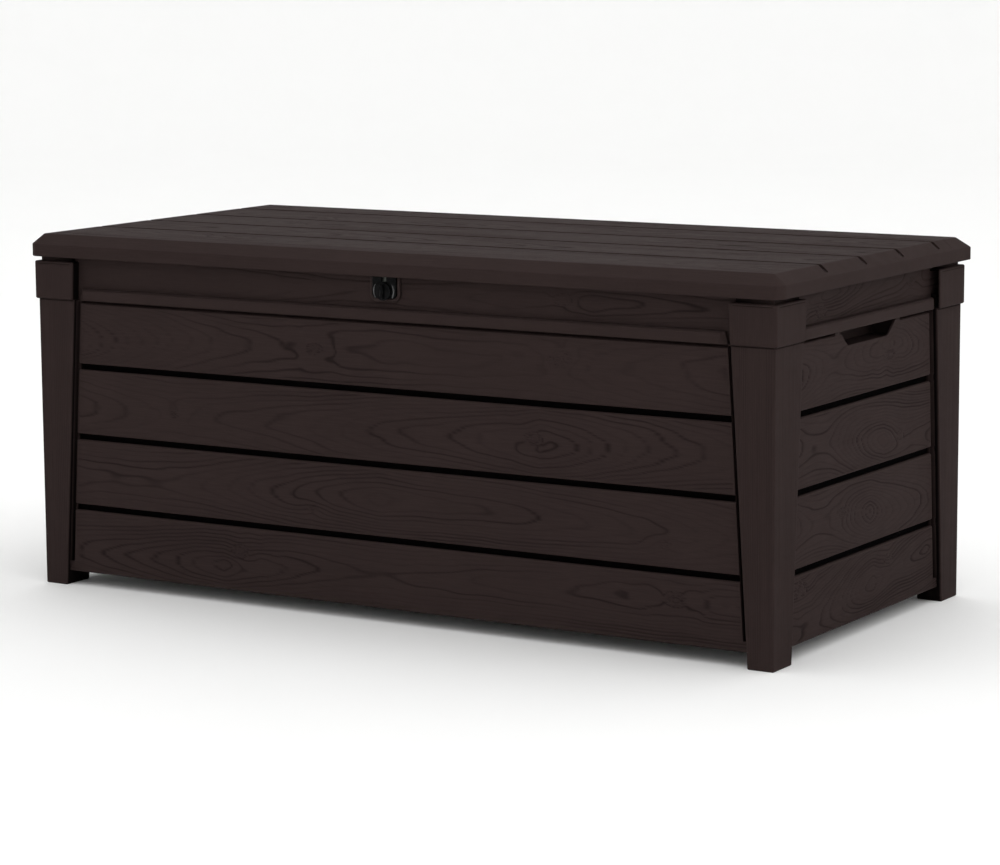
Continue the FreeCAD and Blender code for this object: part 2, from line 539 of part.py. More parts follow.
def hinges():
    wall_screws, lid_screws = [], []
    for name, x in zip(HINGE_NAMES, HINGE_X):
        add(f"hinge_leaf_wall_{name}", hinge_lower(x))
        add(f"hinge_leaf_lid_{name}", hinge_upper(x))
        add(f"hinge_pin_{name}", hinge_pin(x))
        for s in (-1, 1):
            face = FACE_Y - BAND_INSET + LEAF_THICK
            for z in (526.0, 543.0):
                wall_screws.append(screw((x + s * 28.0, face, z), (0, -1, 0), 8.0))
            inner = DEPTH / 2 - 2 * SKIN
            lid_screws.append(screw((x + s * 28.0, inner, 584.8), (0, 1, 0), 5.2))
        drill([f"hinge_leaf_wall_{name}"], wall_screws)
        drill([f"hinge_leaf_lid_{name}"], lid_screws)
    drill(["back_wall"], wall_screws)
    drill(["lid_shell"], lid_screws)
    add("hinge_screws_wall", Part.makeCompound(wall_screws))
    add("hinge_screws_lid", Part.makeCompound(lid_screws))


# ---- gas struts ----
def strut_wall_stud():
    angle = math.radians(STRUT_WALL_ANGLE)
    return HINGE_Y + STRUT_R * math.cos(angle), HINGE_Z + STRUT_R * math.sin(angle)


def along(start, direction, distance, x=STRUT_X):
    return (x, start[0] + direction[0] * distance, start[1] + direction[1] * distance)


def eye(centre, direction):
    """Flat eye on a stud, with a neck towards the rest of its part."""
    y, z = centre
    ring = rod((STRUT_X - EYE_HALF, y, z), (STRUT_X + EYE_HALF, y, z), EYE_R)
    neck = rod(along(centre, direction, 4), along(centre, direction, 16), NECK_R)
    bore = rod((STRUT_X - 20, y, z), (STRUT_X + 20, y, z), STUD_R + RUNNING)
    return ring.fuse(neck).cut(bore)


def struts():
    wall_stud, lid_stud = strut_wall_stud(), (HINGE_Y - STRUT_R, HINGE_Z)
    closed = math.hypot(lid_stud[0] - wall_stud[0], lid_stud[1] - wall_stud[1])
    up = ((lid_stud[0] - wall_stud[0]) / closed, (lid_stud[1] - wall_stud[1]) / closed)
    down = (-up[0], -up[1])

    tube = rod(along(wall_stud, up, TUBE_START), along(wall_stud, up, TUBE_END), TUBE_R)
    tube = tube.fuse(eye(wall_stud, up)).removeSplitter()
    chamber = rod(along(wall_stud, up, TUBE_FLOOR), along(wall_stud, up, TUBE_END - GUIDE), TUBE_BORE)
    guide = rod(along(wall_stud, up, TUBE_FLOOR), along(wall_stud, up, TUBE_END + 1), ROD_R + RUNNING)
    cylinder = tube.cut([chamber, guide])

    shaft = rod(along(wall_stud, up, PISTON_START), along(wall_stud, up, closed - 10), ROD_R)
    piston_end = PISTON_START + PISTON_LENGTH
    piston = rod(along(wall_stud, up, PISTON_START), along(wall_stud, up, piston_end), PISTON_R)
    piston_rod = fuse([shaft, piston, eye(lid_stud, down)])
    piston_rod = piston_rod.cut(rod((STRUT_X - 20, *lid_stud), (STRUT_X + 20, *lid_stud), STUD_R + RUNNING))

    y, z = wall_stud
    inner_wall = FACE_X - SKIN
    plate = block(inner_wall - 3, inner_wall, y - 16, y + 16, z - 24, z + 24)
    plate = round_edges(plate, 6.0, lambda e: e.BoundBox.XLength > 2.9)
    stud = rod((inner_wall - 3, y, z), (STRUT_X - 8, y, z), STUD_R)
    shoulder = rod((inner_wall - 3, y, z), (STRUT_X + EYE_HALF + 0.4, y, z), 6.5)
    clip = rod((STRUT_X - EYE_HALF - 0.4, y, z), (STRUT_X - EYE_HALF - 1.6, y, z), 6.0)
    wall_bracket = fuse([plate, stud, shoulder, clip])
    wall_screws = [screw((inner_wall - 3, y, z + dz), (1, 0, 0), 6.5) for dz in (-16, 16)]

    y, z = lid_stud
    side_x = STRUT_X + EYE_HALF + 6
    web = block(side_x, side_x + 3, y - 14, y + 14, z - 9, LINER_BOTTOM)
    web = round_edges(web, 8.0, lambda e: e.BoundBox.XLength > 2.9 and e.BoundBox.ZMax < z)
    foot = block(side_x + 3, side_x - 44, y - 14, y + 14, LINER_BOTTOM - 2.5, LINER_BOTTOM)
    stud = rod((side_x, y, z), (STRUT_X - 8, y, z), STUD_R)
    shoulder = rod((side_x, y, z), (STRUT_X + EYE_HALF + 0.4, y, z), 6.5)
    clip = rod((STRUT_X - EYE_HALF - 0.4, y, z), (STRUT_X - EYE_HALF - 1.6, y, z), 6.0)
    lid_bracket = fuse([web, foot, stud, shoulder, clip])
    lid_screws = [screw((side_x - 34, y + dy, LINER_BOTTOM - 2.5), (0, 0, 1), 4.8) for dy in (-8, 8)]

    all_wall, all_lid = [], []
    for side, sx in SIDES:
        place = (lambda shape: shape) if sx > 0 else mirror_x
        add(f"strut_cylinder_{side}", place(cylinder))
        add(f"strut_rod_{side}", place(piston_rod))
        add(f"strut_wall_bracket_{side}", place(wall_bracket))
        add(f"strut_lid_bracket_{side}", place(lid_bracket))
        wall_set, lid_set = [place(s) for s in wall_screws], [place(s) for s in lid_screws]
        drill([f"strut_wall_bracket_{side}", f"{side}_wall", f"leg_back_{side}"], wall_set)
        drill([f"strut_lid_bracket_{side}", "lid_liner"], lid_set)
        all_wall += wall_set
        all_lid += lid_set
    add("strut_screws_wall", Part.makeCompound(all_wall))
    add("strut_screws_lid", Part.makeCompound(all_lid))


# ---- latch ----
def shield(half, bottom, top, radius, y0, y1):
    """A plate with a flat top and rounded lower corners."""
    plate = block(-half, half, y0, y1, bottom, top)
    return round_edges(plate, radius, lambda e: e.BoundBox.YLength > 1 and e.BoundBox.ZMax < bottom + 1
                       and e.BoundBox.XLength < 0.1)


def latch():
    band = -(FACE_Y - BAND_INSET)
    inner_half, inner_bottom = LATCH_HALF - BEZEL_RIM, LATCH_BOTTOM + BEZEL_RIM
    bezel = shield(LATCH_HALF, LATCH_BOTTOM, LATCH_TOP, LATCH_CORNER, band, band - BEZEL_PROUD)
    inner_radius = LATCH_CORNER - BEZEL_RIM
    window = shield(inner_half, inner_bottom, LATCH_TOP + 1, inner_radius, band, band - BEZEL_PROUD)
    bezel = bezel.cut(window)
    bezel = bezel.makeChamfer(1.2, [e for e in bezel.Edges if e.BoundBox.YMax < band - BEZEL_PROUD + 0.1])
    add("latch_bezel", bezel)

    gap = 0.2
    front = band - HOUSING_PROUD
    housing = shield(inner_half - gap, inner_bottom + gap, LATCH_TOP, inner_radius, band, front)
    housing = housing.makeChamfer(1.0, [e for e in housing.Edges if e.BoundBox.YMax < front + 0.1])
    pocket = rod((0, front - 1, LATCH_Z), (0, band - 1.2, LATCH_Z), POCKET_R)
    slot = block(-HASP_HALF - 1, HASP_HALF + 1, HASP_FRONT - 1, HASP_BACK + 1.3, LATCH_Z, LATCH_TOP + 1)
    port = block(-5.0, 5.0, front - 1, HASP_FRONT, LATCH_TOP - 8, LATCH_TOP + 1)
    bore = rod((0, front, LATCH_Z), (0, band + 10, LATCH_Z), SHAFT_R + RUNNING)
    add("latch_housing", main_solid(housing.cut([pocket, slot, port, bore])))
    drill(["front_wall"], [bore])

    disc = rod((0, front - 0.3, LATCH_Z), (0, front - 0.3 - KNOB_THICK, LATCH_Z), KNOB_R)
    disc = disc.makeFillet(1.0, [e for e in disc.Edges if e.BoundBox.YMax < front - KNOB_THICK])
    face = front - 0.3 - KNOB_THICK
    grip = block(-3.0, 3.0, face, face - GRIP_PROUD, LATCH_Z - 12, LATCH_Z + 12)
    grip = round_edges(grip, 2.5, lambda e: e.BoundBox.YMax < face - GRIP_PROUD + 0.1)
    shaft = rod((0, front - 1, LATCH_Z), (0, band + 9, LATCH_Z), SHAFT_R)
    catch = rod((CATCH_PIN_AT, front - 1, LATCH_Z), (CATCH_PIN_AT, band - 1.5, LATCH_Z), CATCH_PIN_R)
    groove = rod((0, band + 4, LATCH_Z), (0, band + 5.4, LATCH_Z), SHAFT_R + 1).cut(
        rod((0, band + 4, LATCH_Z), (0, band + 5.4, LATCH_Z), SHAFT_R - 0.8))
    add("latch_knob", fuse([disc, grip, shaft, catch]).cut(groove))
    clip = rod((0, band + 4, LATCH_Z), (0, band + 5.4, LATCH_Z), 8.0).cut(
        rod((0, band + 3, LATCH_Z), (0, band + 6, LATCH_Z), SHAFT_R - 0.8))
    clip = clip.cut(block(-2.4, 2.4, band + 3, band + 6, LATCH_Z, LATCH_Z + 10))
    add("latch_clip", clip)

    arm_top, notch_top = LATCH_Z + 6.4, LATCH_Z + 11.8
    tongue = block(-HASP_HALF, HASP_HALF, HASP_FRONT, HASP_BACK, LATCH_Z + 4.4, LINER_BOTTOM)
    notch = block(-3.5, HASP_HALF + 1, HASP_FRONT - 1, HASP_BACK + 1, arm_top, notch_top)
    short = block(1.5, HASP_HALF + 1, HASP_FRONT - 1, HASP_BACK + 1, LATCH_Z + 4, arm_top)
    foot = block(-14.0, 14.0, HASP_FRONT, HASP_FRONT + 26, LINER_BOTTOM - 1.5, LINER_BOTTOM)
    hasp = fuse([tongue, foot]).cut([notch, short])
    screws = [screw((x, HASP_FRONT + 18, LINER_BOTTOM - 1.5), (0, 0, 1), 3.8) for x in (-8.0, 8.0)]
    add("lid_hasp", hasp)
    drill(["lid_hasp", "lid_liner"], screws)
    add("hasp_screws", Part.makeCompound(screws))


# ---- build and write ----
walls()
legs_and_caps()
floors()
for side_name, side_sign in SIDES:
    add(f"handle_cup_{side_name}", handle_cup(side_sign))
lids()
hinges()
struts()
latch()

os.makedirs("parts", exist_ok=True)
for part_name, part_shape in PARTS.items():
    part_shape.exportStep(f"parts/{part_name}.step")
    print(part_name, len(part_shape.Solids), round(part_shape.Volume / 1000, 1), part_shape.isValid())
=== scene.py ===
import json
import math
import random

import bmesh
import bpy
import numpy as np
from mathutils import Matrix, Vector


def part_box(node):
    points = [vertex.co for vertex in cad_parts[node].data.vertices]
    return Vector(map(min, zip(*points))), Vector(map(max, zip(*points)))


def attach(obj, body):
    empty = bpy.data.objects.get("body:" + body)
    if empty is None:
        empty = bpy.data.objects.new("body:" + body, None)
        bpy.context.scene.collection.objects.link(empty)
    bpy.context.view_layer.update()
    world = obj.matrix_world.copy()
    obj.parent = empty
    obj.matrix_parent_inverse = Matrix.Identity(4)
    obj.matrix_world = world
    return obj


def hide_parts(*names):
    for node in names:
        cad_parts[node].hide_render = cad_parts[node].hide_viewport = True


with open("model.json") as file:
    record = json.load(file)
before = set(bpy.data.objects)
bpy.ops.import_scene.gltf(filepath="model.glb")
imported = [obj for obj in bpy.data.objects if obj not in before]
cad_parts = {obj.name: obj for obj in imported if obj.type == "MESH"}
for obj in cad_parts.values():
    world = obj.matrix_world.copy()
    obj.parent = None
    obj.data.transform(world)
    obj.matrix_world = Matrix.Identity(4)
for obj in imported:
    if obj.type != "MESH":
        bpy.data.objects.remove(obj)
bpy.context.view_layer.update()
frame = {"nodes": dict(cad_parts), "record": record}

NODES = frame["nodes"]
SLOT_OF = {part["node"]: part["material_slot"] for part in frame["record"]["subparts"]}

X, Y, Z = 0, 1, 2

# ---- driving values, in metres ----
BELT_PROUD, BAND_INSET = 0.007, 0.006             # belt and band, from the plank faces
PLANK_GAP_DEPTH = 0.0090
WALL_SPANS = ((0.026, 0.1305), (0.145, 0.2535), (0.268, 0.375), (0.3895, 0.490), (0.5165, 0.5745))
LID_SPANS = ((-0.3280, -0.1835), (-0.1725, -0.0445), (-0.0335, 0.0915), (0.1025, 0.2305), (0.2415, 0.3280))
LEG_EDGES = ((0.6618, 0.6308), (0.2782, 0.2457))  # a leg's inner edge at the floor and the belt, per axis
LEG_GAP, LEG_GAP_SHOWN = 0.014, (0.009, 0.014)    # beside each leg: as designed, and as narrow as it looks
GAP_WALL, GAP_WALL_SHOWN = 0.003, 0.0003          # between a plank gap's end and the leg gap
LID_SKIRT_CLEAR = 0.5905                          # edges above this height on the lid are rounded
LID_GROOVE_REACH = (0.70, 0.30)                   # the lid's grooves lie within this half size
CAP_Z = (0.497, 0.562)
TOP_PLANK_HIGH, BELT_LOW = 0.4895, 0.4975         # the soft groove between them is under the belt
EDGE_ROUND = 0.0010
BORDER_IN, BORDER_HALF = 0.0042, 0.0006           # fine border line on the leg caps
BORDER_CUTS = (-1.6, -0.8, 0.8, 1.6)              # places across the border line, in half widths
UNDER_CAP_CUTS = (0.0030, 0.0018)                 # places just below a cap, to hold the lower end of its painted shadow
ON_FACE, ON_EDGE, ON_LINE = 2e-4, 5e-4, 0.0012    # how near counts as on a face, an outer edge, a gap's line

# ---- painted shade in gaps: its share, and the depths where it begins and is full ----
WALL_SHADE, LID_SHADE, LEG_SHADE = (0.0015, 0.0060), (0.0010, 0.0034), (0.0008, 0.0045)
BELT_SHARE, FLANK_SHARE, CAP_SHARE = 0.22, 0.90, 0.7
FLANK_CUTS = (0.0010, 0.0025, 0.0045)             # depths behind a leg's outer face where the painted shade on its flank grows
CAP_SHADE_REACH = (0.0022, 0.0005)                # how far the painted shadow reaches below and above the lower end of a cap

# ---- wood grain ----
GRAIN_DEPTH, GRAIN_PITCH = 0.00085, 0.0047
COMB_DEPTH, COMB_PITCH, COMB_FAINT = GRAIN_DEPTH * 0.8, 0.0040, 0.45
KNOT_SIZE = (0.018, 0.010)                        # half length along the board, half height across it
KNOT_SPACING = 0.60
LINE_WIDTH, LINE_NARROWEST = 0.32, 0.42           # share of a ring that a line fills, and its least narrowing
SEED_SHIFT, CELL_TURN, CELL_SCATTER = (37.13, 11.71), (127.1, 311.7), 43758.5453
WALLS = (   # node, along, outward axis and sign, row and column of the grid, seed, knot spacing, swirl
    ("front_wall", X, Y, -1, 0.0013, 0.0080, 0, 0.60, 0.15),
    ("back_wall", X, Y, 1, 0.0014, 0.0090, 10, 0.60, 0.15),
    ("left_wall", Y, X, -1, 0.0012, 0.0042, 20, 0.40, 1.0),
    ("right_wall", Y, X, 1, 0.0012, 0.0042, 30, 0.40, 1.0),
)
LID_GRID, LEG_GRID = (0.0014, 0.0095), (0.0012, 0.016)
LID_SEED, LEG_SEED, CAP_SEED, LEG_SEED_STEP = 40, 60, 80, 5

# ---- studio ----
SOFTBOXES = (   # name, place, width and height, power
    ("top_softbox", (0.3, 0.2, 4.8), (4.0, 3.0), 22),
    ("right_softbox", (5.0, 0.6, 2.6), (2.5, 2.5), 32),
)
SOFTBOX_TARGET, WORLD_STRENGTH = (0, 0, 0.3), 1.15
CAMERA_PLACE, CAMERA_LENS, SENSOR_WIDTH = (2.937166, -4.734743, 1.125273), 119.17, 36.0
CAMERA_TURN = (31.712, 8.719, -0.355)             # yaw, pitch and roll, in degrees
STAGE_FLAT, STAGE_CURVE, STAGE_RISE = 10.0, 3.0, 9.0

# ---- colours, linear ----
RESIN = (0.0255, 0.0172, 0.0162, 1)
RESIN_LIGHT = (0.0335, 0.0226, 0.0213, 1)
RESIN_INNER = (0.0250, 0.0170, 0.0160, 1)
# painted shade: near black mixed into gaps, leg flanks and just under the caps
GAP_SHADE = (0.0012, 0.0009, 0.0009, 1)
BLACK_GLOSS = (0.0032, 0.0032, 0.0034, 1)
# lighter than the latch's black: a painted highlight on the dial's crescents
BLACK_ARCS_PAINTED_HIGHLIGHT = (0.0300, 0.0300, 0.0310, 1)
POWDER_BLACK = (0.0120, 0.0120, 0.0125, 1)
ZINC = (0.56, 0.56, 0.54, 1)
DARK_ZINC = (0.060, 0.062, 0.056, 1)
CHROME = (0.72, 0.72, 0.73, 1)
RUBBER = (0.0130, 0.0130, 0.0130, 1)
DUST = (0.085, 0.075, 0.066, 1)
FLOOR = (0.93, 0.93, 0.925, 1)
RESIN_ROUGH, RESIN_GLOSS, PLAIN_GLOSS = 0.66, 0.022, 0.04


# ---- shader building ----
class Graph:
    """Short ways to place and link nodes in one node tree."""

    def __init__(self, tree):
        self.tree = tree

    def node(self, kind, inputs=None, **settings):
        node = self.tree.nodes.new(kind)
        for key, value in settings.items():
            setattr(node, key, value)
        for key, value in (inputs or {}).items():
            self.feed(node, key, value)
        return node

    def feed(self, node, key, value):
        socket = node.inputs[key]
        if isinstance(value, bpy.types.NodeSocket):
            self.tree.links.new(value, socket)
        else:
            socket.default_value = value

    def math(self, operation, a, b=0.0, clamp=False):
        node = self.node("ShaderNodeMath", operation=operation, use_clamp=clamp)
        self.feed(node, 0, a)
        self.feed(node, 1, b)
        return node.outputs[0]

    def noise(self, vector, scale, detail=2.0, roughness=0.5, distortion=0.0):
        node = self.node("ShaderNodeTexNoise", {"Vector": vector, "Scale": scale, "Detail": detail,
                                                "Roughness": roughness, "Distortion": distortion})
        return node.outputs["Fac"]

    def ramp(self, value, low, high, out_low=0.0, out_high=1.0, smooth=True):
        kind = "SMOOTHSTEP" if smooth else "LINEAR"
        node = self.node("ShaderNodeMapRange", {"Value": value, "From Min": low, "From Max": high,
                                                "To Min": out_low, "To Max": out_high},
                         interpolation_type=kind)
        return node.outputs["Result"]

    def mix(self, factor, a, b, blend="MIX"):
        node = self.node("ShaderNodeMix", data_type="RGBA", blend_type=blend)
        self.feed(node, 0, factor)
        self.feed(node, 6, a)
        self.feed(node, 7, b)
        return node.outputs[2]

    def bump(self, height, strength, distance, normal=None):
        inputs = {"Height": height, "Strength": strength, "Distance": distance}
        if normal is not None:
            inputs["Normal"] = normal
        return self.node("ShaderNodeBump", inputs).outputs["Normal"]


def new_group(name, inputs, outputs):
    """A shader node group with named sockets; returns its graph, input sockets and output node."""
    tree = bpy.data.node_groups.new(name, "ShaderNodeTree")
    for label, kind, value in inputs:
        socket = tree.interface.new_socket(label, in_out="INPUT", socket_type=kind)
        if value is not None:
            socket.default_value = value
    for label, kind in outputs:
        tree.interface.new_socket(label, in_out="OUTPUT", socket_type=kind)
    graph = Graph(tree)
    return graph, graph.node("NodeGroupInput").outputs, graph.node("NodeGroupOutput")


VEC, NUM = "NodeSocketVector", "NodeSocketFloat"


def make_moulded_skin():
    """The fine pebble and slow mottling of a moulded resin surface."""
    g, given, out = new_group(
        "moulded_skin", [("Place", VEC, None), ("Pebble Scale", NUM, 900.0)],
        [("Height", NUM), ("Mottle", NUM), ("Roughness Shift", NUM)])
    place = given["Place"]
    pebble = g.noise(place, given["Pebble Scale"], 2.0, 0.6)
    mottle = g.noise(place, 7.0, 4.0, 0.6)
    scuff_at = g.node("ShaderNodeMapping", {"Vector": place, "Scale": (22.0, 22.0, 60.0)}).outputs[0]
    scuff = g.ramp(g.noise(scuff_at, 1.0, 5.0, 0.65), 0.42, 0.75)
    g.feed(out, "Height", pebble)
    g.feed(out, "Mottle", mottle)
    shift = g.math("SUBTRACT", g.math("MULTIPLY", g.noise(place, 38.0, 3.0, 0.6), 0.16), 0.08)
    g.feed(out, "Roughness Shift", g.math("ADD", shift, g.math("MULTIPLY", scuff, 0.05)))
    return g.tree


SKIN = make_moulded_skin()


def new_material(name):
    material = bpy.data.materials.new(name)
    material.use_nodes = True
    graph = Graph(material.node_tree)
    material.node_tree.nodes.clear()
    shader = graph.node("ShaderNodeBsdfPrincipled")
    output = graph.node("ShaderNodeOutputMaterial")
    graph.feed(output, "Surface", shader.outputs[0])
    place = graph.node("ShaderNodeTexCoord")
    return material, graph, shader, place


def resin(name, stretch):
    """Moulded resin: fine fibres along one axis, rougher grain lines darkened by painted shade, and painted
    shade deep in the gaps.
    """
    material, g, shader, place = new_material(name)
    groove = g.node("ShaderNodeAttribute", attribute_name="groove").outputs["Fac"]
    gap = g.node("ShaderNodeAttribute", attribute_name="gap").outputs["Fac"]
    fibre_at = g.node("ShaderNodeMapping", {"Vector": place.outputs["Object"], "Scale": stretch}).outputs[0]
    fibre = g.noise(fibre_at, 1.0, 3.0, 0.6)
    skin = g.node("ShaderNodeGroup", node_tree=SKIN)
    g.feed(skin, "Place", place.outputs["Object"])
    fine = g.bump(skin.outputs["Height"], 0.35, 0.00012)
    g.feed(shader, "Normal", g.bump(fibre, 0.5, 0.00025, fine))
    colour = g.mix(g.ramp(fibre, 0.35, 0.75, 0.0, 0.6), RESIN, RESIN_LIGHT)
    colour = g.mix(g.ramp(skin.outputs["Mottle"], 0.35, 0.8, 0.0, 0.35), colour, RESIN_LIGHT)
    # painted shade in the pressed grain lines: the deeper a line, the darker its colour
    deep = tuple(c * 0.35 for c in RESIN[:3]) + (1,)
    colour = g.mix(g.math("MULTIPLY", groove, 0.8), colour, deep)
    # painted shade: the gap attribute mixes in near black deep in gaps
    g.feed(shader, "Base Color", g.mix(gap, colour, GAP_SHADE))
    shift = g.math("ADD", skin.outputs["Roughness Shift"], g.math("MULTIPLY", groove, 0.15))
    shift = g.math("ADD", shift, g.math("MULTIPLY", gap, 0.45))
    g.feed(shader, "Roughness", g.math("ADD", shift, RESIN_ROUGH, clamp=True))
    shader.inputs["Specular IOR Level"].default_value = RESIN_GLOSS
    return material


def plain_resin(name, base=RESIN_INNER, rough=0.62):
    """Moulded resin or rubber without grain."""
    material, g, shader, place = new_material(name)
    skin = g.node("ShaderNodeGroup", node_tree=SKIN)
    g.feed(skin, "Place", place.outputs["Object"])
    g.feed(shader, "Normal", g.bump(skin.outputs["Height"], 0.4, 0.00015))
    g.feed(shader, "Base Color", g.mix(g.ramp(skin.outputs["Mottle"], 0.3, 0.8), base, RESIN_LIGHT))
    g.feed(shader, "Roughness", g.math("ADD", skin.outputs["Roughness Shift"], rough, clamp=True))
    shader.inputs["Specular IOR Level"].default_value = PLAIN_GLOSS
    return material


def metal(name, colour, rough, stretch, metallic=1.0, grain_depth=0.00003, dirt=0.15):
    """Metal with drawing lines along one axis, slow stains and a little dirt."""
    material, g, shader, place = new_material(name)
    lines_at = g.node("ShaderNodeMapping", {"Vector": place.outputs["Object"], "Scale": stretch}).outputs[0]
    lines = g.noise(lines_at, 1.0, 3.0, 0.6)
    stain = g.noise(place.outputs["Object"], 45.0, 4.0, 0.6)
    g.feed(shader, "Normal", g.bump(lines, 0.6, grain_depth))
    worn = tuple(c * 0.72 for c in colour[:3]) + (1,)
    shade = g.mix(g.ramp(stain, 0.35, 0.75), colour, worn)
    g.feed(shader, "Base Color", g.mix(g.ramp(stain, 0.55, 0.85, 0.0, dirt), shade, DUST))
    g.feed(shader, "Roughness", g.ramp(lines, 0.2, 0.8, rough - 0.06, rough + 0.08, smooth=False))
    shader.inputs["Metallic"].default_value = metallic
    return material


def gloss_plastic(name, colour, rough, level):
    """Smooth plastic with a haze and fine slanting scratches."""
    material, g, shader, place = new_material(name)
    haze = g.noise(place.outputs["Object"], 120.0, 4.0, 0.6)
    slant = {"Vector": place.outputs["Object"], "Scale": (900.0, 300.0, 60.0), "Rotation": (0, 0.6, 0)}
    scratch_at = g.node("ShaderNodeMapping", slant).outputs[0]
    scratch = g.ramp(g.noise(scratch_at, 1.0, 2.0, 0.5), 0.62, 0.72)
    soft = tuple(c * 2.2 for c in colour[:3]) + (1,)
    g.feed(shader, "Base Color", g.mix(g.ramp(haze, 0.4, 0.8), colour, soft))
    g.feed(shader, "Roughness", g.math("ADD", g.ramp(haze, 0.3, 0.8, rough, rough + 0.10),
                                       g.math("MULTIPLY", scratch, 0.12), clamp=True))
    g.feed(shader, "Normal", g.bump(g.math("ADD", haze, scratch), 0.25, 0.00006))
    shader.inputs["Specular IOR Level"].default_value = level
    return material


MATERIALS = {
    "resin_along_x": resin("resin_along_x", (25, 700, 700)),
    "resin_along_y": resin("resin_along_y", (700, 25, 700)),
    "resin_along_z": resin("resin_along_z", (700, 700, 25)),
    # lighter resin on the rounded edges: a painted highlight
    "painted_highlight_edge": plain_resin("painted_highlight_resin_edge", base=RESIN_LIGHT, rough=0.55),
    "inner_resin": plain_resin("inner_resin"),
    "bezel": plain_resin("bezel_resin", base=RESIN, rough=0.45),
    "black_plastic": gloss_plastic("black_latch_plastic", BLACK_GLOSS, 0.24, 0.045),
    "black_arcs": gloss_plastic("black_dial_arcs_painted_highlight", BLACK_ARCS_PAINTED_HIGHLIGHT, 0.14, 0.9),
    "painted_steel": metal("black_powder_coat", POWDER_BLACK, 0.42, (600, 600, 600), 0.0, 0.00008, 0.05),
    "zinc_steel": metal("zinc_plate", ZINC, 0.34, (40, 900, 900)),
    "dark_zinc": metal("dark_zinc_plate", DARK_ZINC, 0.38, (900, 900, 40)),
    "polished_rod": metal("polished_rod_steel", CHROME, 0.16, (900, 60, 60), 1.0, 0.00001, 0.04),
    "rubber": plain_resin("bumper_rubber", base=RUBBER, rough=0.75),
}


for node_name, node_object in NODES.items():
    node_object.data.materials.clear()
    node_object.data.materials.append(MATERIALS.get(SLOT_OF[node_name], MATERIALS["resin_along_x"]))


# ---- embossed boards ----
def smooth(value, low, high):
    t = np.clip((value - low) / (high - low), 0.0, 1.0)
    return t * t * (3 - 2 * t)


def wave(x, y, seed):
    """Smooth noise from -1 to 1 over a plane, the same on every run."""
    x, y = x + seed * SEED_SHIFT[0], y + seed * SEED_SHIFT[1]
    cell_x, cell_y = np.floor(x), np.floor(y)
    fx, fy = x - cell_x, y - cell_y

    def corner(i, j):
        spot = np.sin((cell_x + i) * CELL_TURN[0] + (cell_y + j) * CELL_TURN[1]) * CELL_SCATTER
        angle = (spot - np.floor(spot)) * 2 * np.pi
        return np.cos(angle) * (fx - i) + np.sin(angle) * (fy - j)

    blend_x, blend_y = fx * fx * fx * (fx * (fx * 6 - 15) + 10), fy * fy * fy * (fy * (fy * 6 - 15) + 10)
    low = corner(0, 0) * (1 - blend_x) + corner(1, 0) * blend_x
    high = corner(0, 1) * (1 - blend_x) + corner(1, 1) * blend_x
    return (low * (1 - blend_y) + high * blend_y) * 1.5


def board_knots(board, start, end, low, high, spacing):
    """Knot places on one board, spread along it: (along, across, half length, half height)."""
    draw = random.Random(board * 17 + 5)
    count = max(1, round((end - start) / spacing))
    knots = []
    for i in range(count):
        along = start + (end - start) * (i + draw.uniform(0.2, 0.8)) / count
        across = low + (high - low) * draw.uniform(0.2, 0.8)
        size = draw.uniform(0.6, 1.2)
        knots.append((along, across, KNOT_SIZE[0] * size, KNOT_SIZE[1] * size))
    return knots


def board_grain(u, v, *board):
    """Flat-sawn grain, 0 on the raised wood and 1 in a line; u runs along the board and v across it."""
    seed, pitch = board[0], board[3]
    rings, step = ring_count(u, v, *board), pitch * 0.1
    slope = np.hypot(ring_count(u + step, v, *board) - rings, ring_count(u, v + step, *board) - rings) / step
    width = LINE_WIDTH * np.clip(slope * pitch, LINE_NARROWEST, 1.0)
    line = 1.0 - smooth(np.abs(rings % 1.0 - 0.5) / width, 0.0, 1.0)
    strength = 0.25 + 0.75 * smooth(wave(u * 2.0, rings * 0.43, seed + 0.71), -0.25, 0.35)
    fade = 0.50 * smooth(wave(u * 2.2, v * 17.0, seed + 0.53), 0.0, 0.55)
    return line * strength * (1.0 - fade)


def ring_count(u, v, seed, knots, span, pitch, swirl):
    """How many growth rings lie between the board's heart and each place."""
    low, high = span
    height = high - low
    flat = np.zeros_like(u)
    heart = (low + high) / 2 + height * (0.25 + 0.35 * swirl) * wave(u * (0.7 + 0.6 * swirl), flat, seed)
    lift = height * (0.30 - 0.20 * swirl + 0.85 * np.abs(wave(u * (0.75 + 1.1 * swirl), flat, seed + 0.37)))
    rings = np.sqrt((v - heart) ** 2 + lift ** 2)
    rings += (0.0035 + 0.0015 * swirl) * wave(u * (4.0 + 3.0 * swirl), v * 14.0, seed + 0.11)
    rings += 0.0012 * wave(u * 16.0, v * 60.0, seed + 0.23)
    for along, across, length, tall in knots:
        lean = 0.35 * wave(u * 30.0, v * 30.0, seed + 0.3)
        reach = np.sqrt(((u - along) / length) ** 2 + ((v - across) / tall) ** 2) * (1 + lean)
        rings += 0.8 * tall * np.exp(-((reach / 2.4) ** 2))
        own = 0.9 * np.exp(-((reach / 0.8) ** 4))
        rings = rings * (1 - own) + (0.35 + reach * tall * 0.4 / pitch) * pitch * own
    return rings / pitch


def comb_grain(u, v, seed, knots, span, pitch, swirl):
    """Upright, nearly straight fine lines, as on the legs."""
    rings = (v + 0.0030 * wave(u * 2.0, v * 12.0, seed)) / pitch
    line = 1.0 - smooth(np.abs(rings % 1.0 - 0.5) * 2.0, 0.0, 0.7)
    return COMB_FAINT * line * (0.25 + 0.75 * smooth(wave(u * 1.5, rings * 0.41, seed + 0.7), -0.3, 0.3))


def merged_copy(node):
    """The CAD node's shape as one closed mesh with its flat faces whole."""
    bm = bmesh.new()
    bm.from_mesh(NODES[node].data)
    bmesh.ops.remove_doubles(bm, verts=bm.verts, dist=2e-6)
    bmesh.ops.dissolve_limit(bm, angle_limit=math.radians(0.4), verts=bm.verts, edges=bm.edges)
    return bm


